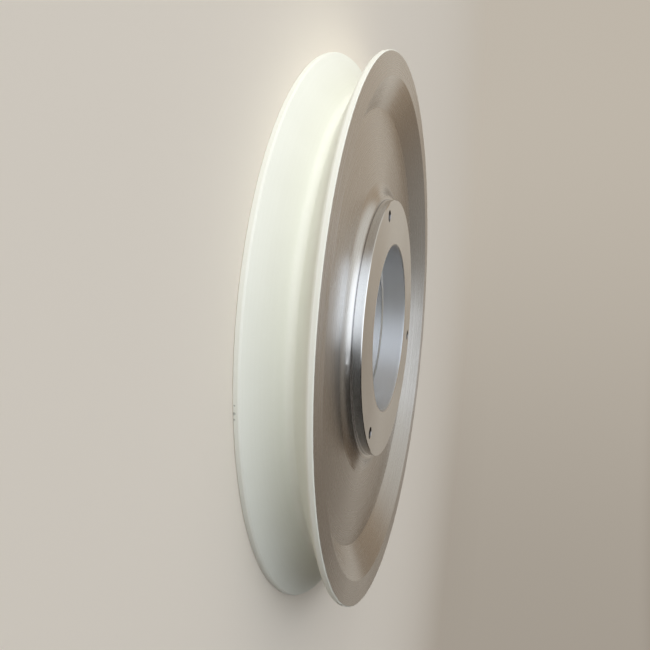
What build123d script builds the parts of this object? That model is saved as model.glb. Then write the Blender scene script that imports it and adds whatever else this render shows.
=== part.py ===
from build123d import *
import math
import os

# Wire guide pulley: one turned aluminium wheel whose V groove and rim lands
# carry a thin sprayed ceramic coat. The axis is +Z and the wheel lies on one
# side, with the origin at the centre of the circle it rests on.
# All sizes are in millimetres.

# Rim
rim_diameter = 250.0
rim_width = 26.0
land_width = 2.25
side_ring_width = 10.0

# Wire groove, measured on the finished coat
groove_angle = 60.0
groove_bottom_radius = 2.5
land_corner_break = 0.5
coat_thickness = 0.3

# Web between the rim and the hub
web_thickness = 11.0
rim_slope_angle = 30.0

# Hub, its faces a little below the side rings
hub_recess = 0.5
hub_diameter = 123.0
hub_edge_break = 0.3
hub_step_width = 2.0
hub_step_height = 2.9
hub_flare_angle = 45.0
hub_flare_radius = 9.0

# Bore with the narrow ring groove at mid-width
bore_diameter = 80.0
bore_chamfer = 0.5
ring_groove_width = 1.4
ring_groove_depth = 0.9

# Tapped holes for a bearing cover, M5, drawn at their core diameter
cover_hole_count = 3
cover_hole_edge_distance = 5.5
cover_hole_core = 4.2
cover_hole_mouth = 5.5
first_cover_hole_angle = 90.0

# Radii and half widths that follow from the sizes above
rim_radius = rim_diameter / 2
metal_rim_radius = rim_radius - coat_thickness
hub_radius = hub_diameter / 2
bore_radius = bore_diameter / 2
mid_height = rim_width / 2
rim_half = rim_width / 2
web_half = web_thickness / 2
hub_half = rim_half - hub_recess
groove_half_angle = math.radians(groove_angle / 2)


def fitted_radius(wanted, run, turn_angle):
    """The wanted corner radius, or the largest that the straight run beside the corner can take."""
    largest_share = 0.95
    return min(wanted, largest_share * run / math.tan(turn_angle / 2))


def groove_apex_radius():
    """Radius at which the flanks of the finished groove would meet."""
    return rim_radius - (rim_half - land_width) / math.tan(groove_half_angle)


def flank_height(radius, inset):
    """Half the groove's width at a radius, between flanks sunk by the inset."""
    apex_radius = groove_apex_radius() - inset / math.sin(groove_half_angle)
    return (radius - apex_radius) * math.tan(groove_half_angle)


def metal_groove_corners():
    """The groove as cut in the metal: plain land corners and a narrow flat floor under the coat."""
    bottom_radius = groove_apex_radius() + groove_bottom_radius * (1 / math.sin(groove_half_angle) - 1)
    floor_radius = bottom_radius - coat_thickness
    return [
        (metal_rim_radius, flank_height(metal_rim_radius, coat_thickness), 0),
        (floor_radius, flank_height(floor_radius, coat_thickness), 0),
    ]


def finished_groove_corners():
    """The groove's coated surface: broken land corners and a round bottom for the wire."""
    land_corner_height = flank_height(rim_radius, 0)
    break_run = land_corner_break * math.cos(groove_half_angle)
    break_drop = land_corner_break * math.sin(groove_half_angle)
    return [
        (rim_radius, land_corner_height + land_corner_break, 0),
        (rim_radius - break_run, land_corner_height - break_drop, 0),
        (groove_apex_radius(), 0, groove_bottom_radius),
    ]


def mirrored(upper):
    """The upper half's corners, then the same corners below mid-width, in running order."""
    on_middle = [corner for corner in upper if corner[1] == 0]
    above = [corner for corner in upper if corner[1] > 0]
    below = [(radius, -height, corner) for radius, height, corner in reversed(above)]
    return above + on_middle + below


def turned(corners):
    """A solid turned from a closed half section of (radius, height, corner radius) points."""
    points = [(radius, height + mid_height) for radius, height, _ in corners]
    radii = [corner for _, _, corner in corners]
    with BuildPart() as solid:
        with BuildSketch(Plane.XZ):
            with BuildLine():
                FilletPolyline(*points, radius=radii, close=True)
            make_face()
        revolve(axis=Axis.Z)
    return solid.part


def hub_corners():
    """From the ring groove in the bore, over the hub's face and side, to the flare's foot on the web."""
    step_height = web_half + hub_step_height
    step_radius = hub_radius + hub_step_width
    flare = math.radians(hub_flare_angle)
    flare_run = hub_step_height / math.sin(flare)
    flare_foot = step_radius + hub_step_height / math.tan(flare)
    return [
        (bore_radius + ring_groove_depth, ring_groove_width / 2, 0),
        (bore_radius, ring_groove_width / 2, 0),
        (bore_radius, hub_half - bore_chamfer, 0),
        (bore_radius + bore_chamfer, hub_half, 0),
        (hub_radius - hub_edge_break, hub_half, 0),
        (hub_radius, hub_half - hub_edge_break, 0),
        (hub_radius, step_height, 0),
        (step_radius, step_height, 0),
        (flare_foot, web_half, fitted_radius(hub_flare_radius, flare_run, flare)),
    ]


def rim_side_corners():
    """From the web's outer edge, up the sloped inside of the rim and over the side ring."""
    slope = math.radians(rim_slope_angle)
    side_ring_inner_radius = rim_radius - side_ring_width
    web_outer_radius = side_ring_inner_radius - (rim_half - web_half) / math.tan(slope)
    return [
        (web_outer_radius, web_half, 0),
        (side_ring_inner_radius, rim_half, 0),
        (metal_rim_radius, rim_half, 0),
    ]


def drill_cover_holes(wheel):
    """The wheel with its cover holes drilled right through the hub and countersunk on both faces."""
    countersink = (cover_hole_mouth - cover_hole_core) / 2
    core_radius = cover_hole_core / 2
    mouth_radius = cover_hole_mouth / 2
    circle_radius = hub_radius - cover_hole_edge_distance
    with BuildPart() as drilled:
        add(wheel)
        with Locations((0, 0, mid_height)):
            with PolarLocations(circle_radius, cover_hole_count, first_cover_hole_angle):
                Cylinder(core_radius, 2 * hub_half, mode=Mode.SUBTRACT)
                with Locations((0, 0, hub_half - countersink / 2)):
                    Cone(core_radius, mouth_radius, countersink, mode=Mode.SUBTRACT)
                with Locations((0, 0, countersink / 2 - hub_half)):
                    Cone(mouth_radius, core_radius, countersink, mode=Mode.SUBTRACT)
    return drilled.part


def make_pulley_body():
    """The bare aluminium wheel: hub, web and rim, with the groove cut to take the coat."""
    half_section = hub_corners() + rim_side_corners() + metal_groove_corners()
    return drill_cover_holes(turned(mirrored(half_section)))


def make_ceramic_coating():
    """The coat on the groove and both lands, its ends dressed off at 45 degrees down to the metal's edge."""
    outer_end = (rim_radius, rim_half - coat_thickness, 0)
    inner_end = (metal_rim_radius, rim_half, 0)
    outside = mirrored([outer_end] + finished_groove_corners())
    inside = mirrored([inner_end] + metal_groove_corners())
    return turned(outside + inside[::-1])


pulley_body = make_pulley_body()
ceramic_coating = make_ceramic_coating()

os.makedirs("parts", exist_ok=True)
export_step(pulley_body, "parts/pulley_body.step")
export_step(ceramic_coating, "parts/ceramic_coating.step")
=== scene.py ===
import math

import bpy
from mathutils import Matrix, Vector


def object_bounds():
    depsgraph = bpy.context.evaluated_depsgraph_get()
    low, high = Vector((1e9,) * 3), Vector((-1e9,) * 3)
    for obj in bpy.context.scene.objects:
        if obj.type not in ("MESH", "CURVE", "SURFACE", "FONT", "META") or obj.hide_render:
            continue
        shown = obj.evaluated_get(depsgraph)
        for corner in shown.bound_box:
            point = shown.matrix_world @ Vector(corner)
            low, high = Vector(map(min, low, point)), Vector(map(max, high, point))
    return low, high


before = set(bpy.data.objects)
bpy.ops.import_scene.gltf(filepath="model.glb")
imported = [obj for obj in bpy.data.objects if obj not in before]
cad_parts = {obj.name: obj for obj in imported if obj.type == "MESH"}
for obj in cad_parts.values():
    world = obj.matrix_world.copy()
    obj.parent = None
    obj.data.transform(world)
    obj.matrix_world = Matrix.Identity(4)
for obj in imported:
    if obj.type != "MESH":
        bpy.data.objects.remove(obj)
cad_low, cad_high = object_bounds()

# The wheel's main sizes, read from the frame, in metres
RIM_RADIUS = cad_high.x
TOP = cad_high.z

# Camera: its place beside the wheel and the way it looks, as in the photograph
CAMERA_AZIMUTH = math.radians(273.5)
CAMERA_DISTANCE = 0.2938
CAMERA_RISE = 0.0515
VIEW_AZIMUTH = math.radians(94.45)
VIEW_PITCH = math.radians(-16.31)
VIEW_ROLL = math.radians(94.32)
FOCAL_PIXELS = 606.7
IMAGE_PIXELS = 650
PRINCIPAL_POINT_RISE = 12.1
SENSOR_MM = 36.0
NEAREST_SEEN = 0.01

# Radii where the finish changes, outside the hub and in the bore, and the width of each change
HUB_STEP_RADIUS = 0.0620
HUB_STEP_FADE = 0.001
BORE_WALL_RADIUS = 0.0405
BORE_WALL_FADE = 0.0005

# The corner where the hub's side meets its step, where a fine line of painted shade darkens the metal
STEP_CORNER_RADIUS = 0.0615
STEP_CORNER_HALF_HEIGHT = 0.0084
CORNER_SHADE_INSIDE = 0.0002
CORNER_SHADE_OUTSIDE = 0.0004

# Cover holes and their M5 thread, which fades out between two distances beyond the core's radius
HOLE_CIRCLE_RADIUS = 0.056
HOLE_COUNT = 3
FIRST_HOLE_ANGLE = math.radians(90)
HOLE_MOUTH_RADIUS = 0.00275
HOLE_MOUTH_FADE = 0.00008
HOLE_CORE_RADIUS = 0.0021
THREAD_PITCH = 0.0008
THREAD_FULL = 0.0002
THREAD_GONE = 0.00035
CREST_TO_ROOT_PITCHES = 0.5

# Small nicks on the lower land's outer edge: azimuth in degrees, height, inner and outer size in metres
NICKS = [
    (286.3, 0.0007, 0.0001, 0.0004),
    (287.5, 0.0004, 0.0003, 0.0008),
    (288.4, 0.0005, 0.0001, 0.0006),
]

# Noise, as (scale per metre, detail), and the spans that its values seldom leave
FINE_MARKS = (5200.0, 2.0)
BROAD_MARKS = (620.0, 4.0)
HAZE = (38.0, 3.0)
GRAIN = (2600.0, 4.0)
CLOUD = (45.0, 3.0)
GRINDING = (1500.0, 3.0)
RAGGED = (1800.0, 2.0)
NOISE_SPAN = (0.3, 0.7)
HAZE_SPAN = (0.35, 0.65)

# How the lathe's marks run on round the wheel: metres of noise for each radian
MARK_RUN = 0.0004

# Metal: its two tones, the finish of the hub's side, and what the other faces and the bore add to it
METAL_DEEP = (0.74, 0.74, 0.74, 1)
METAL_PALE = (0.82, 0.82, 0.81, 1)
BORE_COLOUR = (0.85, 0.88, 0.92, 1)
# Painted shade: the dark colour inside the tapped cover holes
HOLE_SHADE_COLOUR = (0.17, 0.17, 0.18, 1)
# Painted shade: the dark colour of the line in the corner between the hub's side and its step
CORNER_SHADE_COLOUR = (0.46, 0.46, 0.47, 1)
FINE_SHARE = 0.6
BROAD_SHARE = 0.4
METAL_ROUGHNESS = (0.10, 0.16)
HAZE_ROUGHNESS = 0.03
FACE_ROUGHNESS = 0.13
BORE_ROUGHNESS = 0.52
MARK_BUMP = {"Strength": 0.08, "Distance": 0.00003}
THREAD_BUMP = {"Strength": 1.0, "Distance": 0.0008}
ANISOTROPY = 0.8
QUARTER_TURN = 0.25

# Coat: its two tones and the nicks' colour, its grain and the size of the nicks' ragged edge
COAT_DEEP = (0.85, 0.865, 0.79, 1)
COAT_PALE = (0.885, 0.90, 0.83, 1)
NICK_COLOUR = (0.50, 0.52, 0.48, 1)
GRAIN_SHARE = 0.3
CLOUD_SHARE = 0.4
GRINDING_SHARE = 0.3
GRAIN_RELIEF = 0.3
COAT_ROUGHNESS = (0.42, 0.6)
COAT_BUMP = {"Strength": 0.6, "Distance": 0.0001}
RAGGED_SIZE = 0.0006

# Lamp beside the wheel, in metres, degrees and watts
LAMP_AZIMUTH = 223.0
LAMP_DISTANCE = 1.33
LAMP_HEIGHT = 0.27
LAMP_SIZE = (1.4, 0.52)
LAMP_POWER = 9.9

# What stands out in the room: colour, direction in degrees, and the cosines of the angles at its soft edge
DARK_SIDE = {"colour": (0.02, 0.018, 0.016, 1), "azimuth": 320.0, "elevation": 0.0, "edge": (-0.15, 0.20)}
SIDE_PANEL = {"colour": (0.64, 0.61, 0.55, 1), "azimuth": 150.0, "elevation": 46.0, "edge": (0.86, 0.97)}
WINDOW = {"colour": (1.62, 1.72, 1.86, 1), "azimuth": 252.0, "elevation": 16.0, "edge": (0.68, 0.99)}
SKYLIGHT = {"colour": (1.42, 1.47, 1.52, 1), "azimuth": 240.0, "elevation": 73.0, "edge": (0.84, 0.965)}

# Walls and ceiling, and the sines of elevation between which one turns into the other
CEILING_NEAR_WINDOW = (0.54, 0.53, 0.50, 1)
CEILING_FAR_FROM_WINDOW = (0.21, 0.18, 0.145, 1)
WALL_NEAR_WINDOW = (0.36, 0.28, 0.20, 1)
WALL_FAR_FROM_WINDOW = (0.11, 0.082, 0.058, 1)
CEILING_EDGE = (0.45, 0.93)

# Floor: the colour that it shows, the one that lights the wheel, and the radii of its change to the backdrop
FLOOR = (0.89, 0.83, 0.745, 1)
FLOOR_BOUNCE = (0.54, 0.465, 0.375, 1)
FLOOR_EDGE = (0.12, 1.25)
FLOOR_HALF_WIDTH = 6.0
FLOOR_ROUGHNESS = 0.9

# Backdrop: the colours that it shows, those that light the wheel, the sines of elevation of its upper edge,
# and the x parts of direction between which the near colours turn into the far ones
BACKDROP_NEAR_WINDOW = (0.52, 0.47, 0.40, 1)
BACKDROP_FAR_FROM_WINDOW = (0.365, 0.325, 0.275, 1)
BACKDROP_BOUNCE_NEAR = (0.62, 0.57, 0.50, 1)
BACKDROP_BOUNCE_FAR = (0.05, 0.042, 0.032, 1)
BACKDROP_EDGE = (0.2, 0.27)
BACKDROP_TURN = (-0.45, 0.45)


def pointing(azimuth, elevation=0.0, distance=1.0):
    """The vector of a length that points at an azimuth and an elevation, both in radians."""
    flat = distance * math.cos(elevation)
    return Vector((flat * math.cos(azimuth), flat * math.sin(azimuth), distance * math.sin(elevation)))


def make_camera():
    """The photograph's camera: lying on its side, a little above the wheel's upper face."""
    forward = pointing(VIEW_AZIMUTH, VIEW_PITCH)
    level_right = forward.cross(Vector((0, 0, 1))).normalized()
    level_up = level_right.cross(forward)
    up = level_up * math.cos(VIEW_ROLL) - level_right * math.sin(VIEW_ROLL)
    right = forward.cross(up)
    data = bpy.data.cameras.new("camera")
    data.sensor_width = SENSOR_MM
    data.lens = FOCAL_PIXELS / IMAGE_PIXELS * SENSOR_MM
    data.shift_y = -PRINCIPAL_POINT_RISE / IMAGE_PIXELS
    data.clip_start = NEAREST_SEEN
    camera = bpy.data.objects.new("camera", data)
    bpy.context.collection.objects.link(camera)
    place = pointing(CAMERA_AZIMUTH, distance=CAMERA_DISTANCE) + Vector((0, 0, TOP + CAMERA_RISE))
    turn = Matrix((right, up, -forward)).transposed().to_4x4()
    camera.matrix_world = Matrix.Translation(place) @ turn
    bpy.context.scene.camera = camera


def add_node(tree, kind, settings=None, **inputs):
    """A shader node with its settings. Its inputs, by name or as i and a number, get a value or a link."""
    node = tree.nodes.new(kind)
    for name, value in (settings or {}).items():
        setattr(node, name, value)
    for name, value in inputs.items():
        key = int(name[1:]) if name[0] == "i" and name[1:].isdigit() else name
        socket = node.inputs[key]
        if isinstance(value, bpy.types.NodeSocket):
            tree.links.new(value, socket)
        else:
            socket.default_value = value
    return node


def maths(tree, operation, first, second=0.0):
    """The output of a Math node."""
    return add_node(tree, "ShaderNodeMath", {"operation": operation}, i0=first, i1=second).outputs[0]


def vector_maths(tree, operation, first, **others):
    """The outputs of a Vector Math node."""
    return add_node(tree, "ShaderNodeVectorMath", {"operation": operation}, i0=first, **others).outputs


def blank_material(name):
    """A material with a Principled shader and nothing else."""
    material = bpy.data.materials.new(name)
    material.use_nodes = True
    return material, material.node_tree, material.node_tree.nodes["Principled BSDF"]


def object_place(tree):
    """Position on the object and its three parts, in metres."""
    place = add_node(tree, "ShaderNodeTexCoord").outputs["Object"]
    return place, add_node(tree, "ShaderNodeSeparateXYZ", Vector=place).outputs


def length(tree, first, second):
    """The length that two steps at right angles make together."""
    first_square = maths(tree, "MULTIPLY", first, first)
    second_square = maths(tree, "MULTIPLY", second, second)
    return maths(tree, "SQRT", maths(tree, "ADD", first_square, second_square))


def ranged(tree, value, low, high, first=0.0, last=1.0, kind="SMOOTHSTEP"):
    """A value taken from its own range, low to high, to another, first to last."""
    node = add_node(tree, "ShaderNodeMapRange", {"interpolation_type": kind},
                    Value=value, i1=low, i2=high, i3=first, i4=last)
    return node.outputs[0]


def blend(tree, factor, first, second):
    """Two colours mixed by a factor. A Mix node keeps its colours in inputs 6 and 7 and in output 2."""
    node = add_node(tree, "ShaderNodeMix", {"data_type": "RGBA"}, i0=factor, i6=first, i7=second)
    return node.outputs[2]


def noise(tree, place, scale, detail):
    """Noise of a given scale and detail, as a value and as a colour."""
    return add_node(tree, "ShaderNodeTexNoise", Vector=place, Scale=scale, Detail=detail).outputs


def shared_sum(tree, *shares):
    """The sum of several values, each times its share."""
    total = 0.0
    for value, share in shares:
        total = maths(tree, "ADD", maths(tree, "MULTIPLY", value, share), total)
    return total


def turned_place(tree, radius, angle, height):
    """Position as (distance from the axis, height, a little of the angle), so marks run round the wheel."""
    run = maths(tree, "MULTIPLY", angle, MARK_RUN)
    return add_node(tree, "ShaderNodeCombineXYZ", X=radius, Y=height, Z=run).outputs[0]


def cover_hole_place(tree, radius, angle, height):
    """Distance from the nearest cover hole's axis, and the place between two crests of its thread."""
    step = 2 * math.pi / HOLE_COUNT
    from_first = maths(tree, "SUBTRACT", angle, FIRST_HOLE_ANGLE)
    nearest = maths(tree, "MULTIPLY", maths(tree, "ROUND", maths(tree, "DIVIDE", from_first, step)), step)
    offset = maths(tree, "SUBTRACT", from_first, nearest)
    sideways = maths(tree, "MULTIPLY", radius, maths(tree, "SINE", offset))
    along = maths(tree, "MULTIPLY", radius, maths(tree, "COSINE", offset))
    outward = maths(tree, "SUBTRACT", along, HOLE_CIRCLE_RADIUS)
    turn = maths(tree, "DIVIDE", maths(tree, "ARCTAN2", sideways, outward), 2 * math.pi)
    turns = maths(tree, "ADD", maths(tree, "DIVIDE", height, THREAD_PITCH), turn)
    return length(tree, sideways, outward), maths(tree, "PINGPONG", turns, CREST_TO_ROOT_PITCHES)


def in_bore(tree, radius):
    """1 on the bore's wall and 0 outside it."""
    return ranged(tree, radius, BORE_WALL_RADIUS + BORE_WALL_FADE, BORE_WALL_RADIUS)


def on_painted_corner_shade(tree, radius, height):
    """1 on the fine line of painted shade in the corner between the hub's side and its step, on both sides of
    the wheel.
    """
    from_middle = maths(tree, "ABSOLUTE", maths(tree, "SUBTRACT", height, TOP / 2))
    outward = maths(tree, "SUBTRACT", radius, STEP_CORNER_RADIUS)
    upward = maths(tree, "SUBTRACT", from_middle, STEP_CORNER_HALF_HEIGHT)
    return ranged(tree, length(tree, outward, upward), CORNER_SHADE_OUTSIDE, CORNER_SHADE_INSIDE)


def metal_tone(tree, marks, radius, height, from_hole):
    """The metal's colour: a little lively with the marks, bluish in the bore, with painted shade in the
    step's corner line and in the holes.
    """
    in_hole = ranged(tree, from_hole, HOLE_MOUTH_RADIUS, HOLE_MOUTH_RADIUS - HOLE_MOUTH_FADE)
    tone = blend(tree, ranged(tree, marks, *NOISE_SPAN), METAL_DEEP, METAL_PALE)
    tone = blend(tree, in_bore(tree, radius), tone, BORE_COLOUR)
    # painted shade along the corner between the hub's side and its step
    tone = blend(tree, on_painted_corner_shade(tree, radius, height), tone, CORNER_SHADE_COLOUR)
    # painted shade inside the cover holes
    return blend(tree, in_hole, tone, HOLE_SHADE_COLOUR)


def metal_roughness(tree, marks, haze, radius):
    """The metal's roughness: least on the hub's side, more outside the hub, most in the bore."""
    on_marks = ranged(tree, marks, *NOISE_SPAN, *METAL_ROUGHNESS)
    in_haze = ranged(tree, haze, *HAZE_SPAN, 0.0, HAZE_ROUGHNESS)
    on_faces = ranged(tree, radius, HUB_STEP_RADIUS, HUB_STEP_RADIUS + HUB_STEP_FADE, 0.0, FACE_ROUGHNESS)
    on_bore = maths(tree, "MULTIPLY", in_bore(tree, radius), BORE_ROUGHNESS)
    rough = maths(tree, "ADD", maths(tree, "ADD", on_marks, in_haze), on_faces)
    return maths(tree, "ADD", rough, on_bore)


def metal_relief(tree, marks, from_hole, thread):
    """The metal's surface: shallow turning marks, and the thread in the cover holes."""
    on_thread = ranged(tree, from_hole, HOLE_CORE_RADIUS + THREAD_GONE, HOLE_CORE_RADIUS + THREAD_FULL)
    crests = maths(tree, "MULTIPLY", thread, on_thread)
    marked = add_node(tree, "ShaderNodeBump", Height=marks, **MARK_BUMP).outputs["Normal"]
    return add_node(tree, "ShaderNodeBump", Height=crests, Normal=marked, **THREAD_BUMP).outputs["Normal"]


def turned_aluminium():
    """Bright turned aluminium: fine marks round the axis, a highlight drawn out across them, threads."""
    material, tree, shader = blank_material("turned_aluminium")
    place, (x, y, height) = object_place(tree)
    radius = length(tree, x, y)
    angle = maths(tree, "ARCTAN2", y, x)
    lathe = turned_place(tree, radius, angle, height)
    fine = noise(tree, lathe, *FINE_MARKS)["Fac"]
    broad = noise(tree, lathe, *BROAD_MARKS)["Fac"]
    haze = noise(tree, place, *HAZE)["Fac"]
    marks = shared_sum(tree, (fine, FINE_SHARE), (broad, BROAD_SHARE))
    from_hole, thread = cover_hole_place(tree, radius, angle, height)
    tangent = add_node(tree, "ShaderNodeTangent", {"direction_type": "RADIAL", "axis": "Z"})
    tree.links.new(metal_tone(tree, marks, radius, height, from_hole), shader.inputs["Base Color"])
    tree.links.new(metal_roughness(tree, marks, haze, radius), shader.inputs["Roughness"])
    tree.links.new(metal_relief(tree, marks, from_hole, thread), shader.inputs["Normal"])
    tree.links.new(tangent.outputs["Tangent"], shader.inputs["Tangent"])
    shader.inputs["Metallic"].default_value = 1.0
    shader.inputs["Anisotropic"].default_value = ANISOTROPY
    shader.inputs["Anisotropic Rotation"].default_value = QUARTER_TURN
    return material


def on_nicks(tree, place):
    """1 in the nicks of the lower land's edge, with ragged outlines."""
    ragged = vector_maths(tree, "SCALE", noise(tree, place, *RAGGED)["Color"], Scale=RAGGED_SIZE)["Vector"]
    shaken = vector_maths(tree, "ADD", place, i1=ragged)["Vector"]
    shaken = vector_maths(tree, "SUBTRACT", shaken, i1=(RAGGED_SIZE / 2,) * 3)["Vector"]
    nicked = 0.0
    for azimuth, nick_height, inner, outer in NICKS:
        nick = pointing(math.radians(azimuth), distance=RIM_RADIUS) + Vector((0, 0, nick_height))
        away = vector_maths(tree, "DISTANCE", shaken, i1=nick)["Value"]
        nicked = maths(tree, "MAXIMUM", ranged(tree, away, outer, inner), nicked)
    return nicked


def sprayed_ceramic():
    """Ivory white sprayed ceramic, ground smooth but still finely grained, with a few nicks."""
    material, tree, shader = blank_material("sprayed_ceramic")
    place, (x, y, height) = object_place(tree)
    lathe = turned_place(tree, length(tree, x, y), maths(tree, "ARCTAN2", y, x), height)
    grain = noise(tree, place, *GRAIN)["Fac"]
    cloud = noise(tree, place, *CLOUD)["Fac"]
    grinding = noise(tree, lathe, *GRINDING)["Fac"]
    mixed = shared_sum(tree, (grain, GRAIN_SHARE), (cloud, CLOUD_SHARE), (grinding, GRINDING_SHARE))
    nicked = on_nicks(tree, place)
    tone = blend(tree, ranged(tree, mixed, *NOISE_SPAN), COAT_DEEP, COAT_PALE)
    rough = ranged(tree, grain, *NOISE_SPAN, *COAT_ROUGHNESS, kind="LINEAR")
    relief = maths(tree, "SUBTRACT", maths(tree, "MULTIPLY", grain, GRAIN_RELIEF), nicked)
    bump = add_node(tree, "ShaderNodeBump", Height=relief, **COAT_BUMP)
    tree.links.new(blend(tree, nicked, tone, NICK_COLOUR), shader.inputs["Base Color"])
    tree.links.new(rough, shader.inputs["Roughness"])
    tree.links.new(bump.outputs["Normal"], shader.inputs["Normal"])
    return material


def dress(node, material):
    """Gives a CAD node's every slot one material."""
    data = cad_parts[node].data
    data.materials.clear()
    data.materials.append(material)


def seen_by_eye(tree):
    """1 for rays that show a surface, straight or in metal, and 0 for those that carry light to the wheel."""
    rays = add_node(tree, "ShaderNodeLightPath").outputs
    mirrored = maths(tree, "MAXIMUM", rays["Is Glossy Ray"], rays["Is Transmission Ray"])
    return maths(tree, "MAXIMUM", rays["Is Camera Ray"], mirrored)


def backdrop_colour(tree, side):
    """The backdrop's pale colour, deeper on the side away from the window, and the light that it gives."""
    turn = ranged(tree, side, *BACKDROP_TURN)
    shown = blend(tree, turn, BACKDROP_NEAR_WINDOW, BACKDROP_FAR_FROM_WINDOW)
    given = blend(tree, turn, BACKDROP_BOUNCE_NEAR, BACKDROP_BOUNCE_FAR)
    return blend(tree, seen_by_eye(tree), given, shown)


def floor_material():
    """Pale and matt near the wheel, and one with the backdrop far from it."""
    material, tree, shader = blank_material("floor")
    _, (x, y, _) = object_place(tree)
    away = length(tree, x, y)
    colour = blend(tree, seen_by_eye(tree), FLOOR_BOUNCE, FLOOR)
    tree.links.new(colour, shader.inputs["Base Color"])
    shader.inputs["Roughness"].default_value = FLOOR_ROUGHNESS
    backdrop = backdrop_colour(tree, maths(tree, "DIVIDE", x, away))
    far = add_node(tree, "ShaderNodeEmission", Color=backdrop, Strength=1.0)
    both = add_node(tree, "ShaderNodeMixShader", Fac=ranged(tree, away, *FLOOR_EDGE),
                    i1=shader.outputs[0], i2=far.outputs[0])
    tree.links.new(both.outputs[0], tree.nodes["Material Output"].inputs["Surface"])
    return material


def make_floor():
    """A plain pale floor under the wheel, which runs into the backdrop with no edge."""
    half = FLOOR_HALF_WIDTH
    data = bpy.data.meshes.new("floor")
    corners = [(-half, -half, 0), (half, -half, 0), (half, half, 0), (-half, half, 0)]
    data.from_pydata(corners, [], [(0, 1, 2, 3)])
    data.materials.append(floor_material())
    floor = bpy.data.objects.new("floor", data)
    bpy.context.collection.objects.link(floor)


def make_lamp():
    """One large soft panel beside the wheel, aimed at its middle and hidden from mirrors."""
    place = pointing(math.radians(LAMP_AZIMUTH), distance=LAMP_DISTANCE) + Vector((0, 0, LAMP_HEIGHT))
    data = bpy.data.lights.new("lamp", "AREA")
    data.shape = "RECTANGLE"
    data.size, data.size_y = LAMP_SIZE
    data.energy = LAMP_POWER
    lamp = bpy.data.objects.new("lamp", data)
    lamp.location = place
    lamp.rotation_euler = (Vector((0, 0, TOP / 2)) - place).to_track_quat("-Z", "Y").to_euler()
    lamp.visible_camera = False
    lamp.visible_glossy = False
    bpy.context.collection.objects.link(lamp)


def with_patch(tree, direction, room, colour, azimuth, elevation, edge):
    """The room with a round patch of one colour, its edge soft between the cosines of two angles."""
    aim = pointing(math.radians(azimuth), math.radians(elevation))
    nearness = vector_maths(tree, "DOT_PRODUCT", direction, i1=aim)["Value"]
    return blend(tree, ranged(tree, nearness, *edge), room, colour)


def make_world():
    """A plain studio: a pale backdrop low down, warm walls, a window, a side panel and a grey ceiling."""
    world = bpy.data.worlds.new("world")
    bpy.context.scene.world = world
    world.use_nodes = True
    tree = world.node_tree
    direction = add_node(tree, "ShaderNodeTexCoord").outputs["Generated"]
    side, _, height = add_node(tree, "ShaderNodeSeparateXYZ", Vector=direction).outputs
    turn = ranged(tree, side, *BACKDROP_TURN)
    wall = blend(tree, turn, WALL_NEAR_WINDOW, WALL_FAR_FROM_WINDOW)
    ceiling = blend(tree, turn, CEILING_NEAR_WINDOW, CEILING_FAR_FROM_WINDOW)
    room = blend(tree, ranged(tree, height, *CEILING_EDGE), wall, ceiling)
    for patch in (DARK_SIDE, SIDE_PANEL, WINDOW, SKYLIGHT):
        room = with_patch(tree, direction, room, **patch)
    above_backdrop = ranged(tree, height, *BACKDROP_EDGE)
    room = blend(tree, above_backdrop, backdrop_colour(tree, side), room)
    tree.links.new(room, tree.nodes["Background"].inputs["Color"])


bpy.context.scene.view_settings.view_transform = "Standard"
make_camera()
dress("pulley_body", turned_aluminium())
dress("ceramic_coating", sprayed_ceramic())
make_floor()
make_lamp()
make_world()
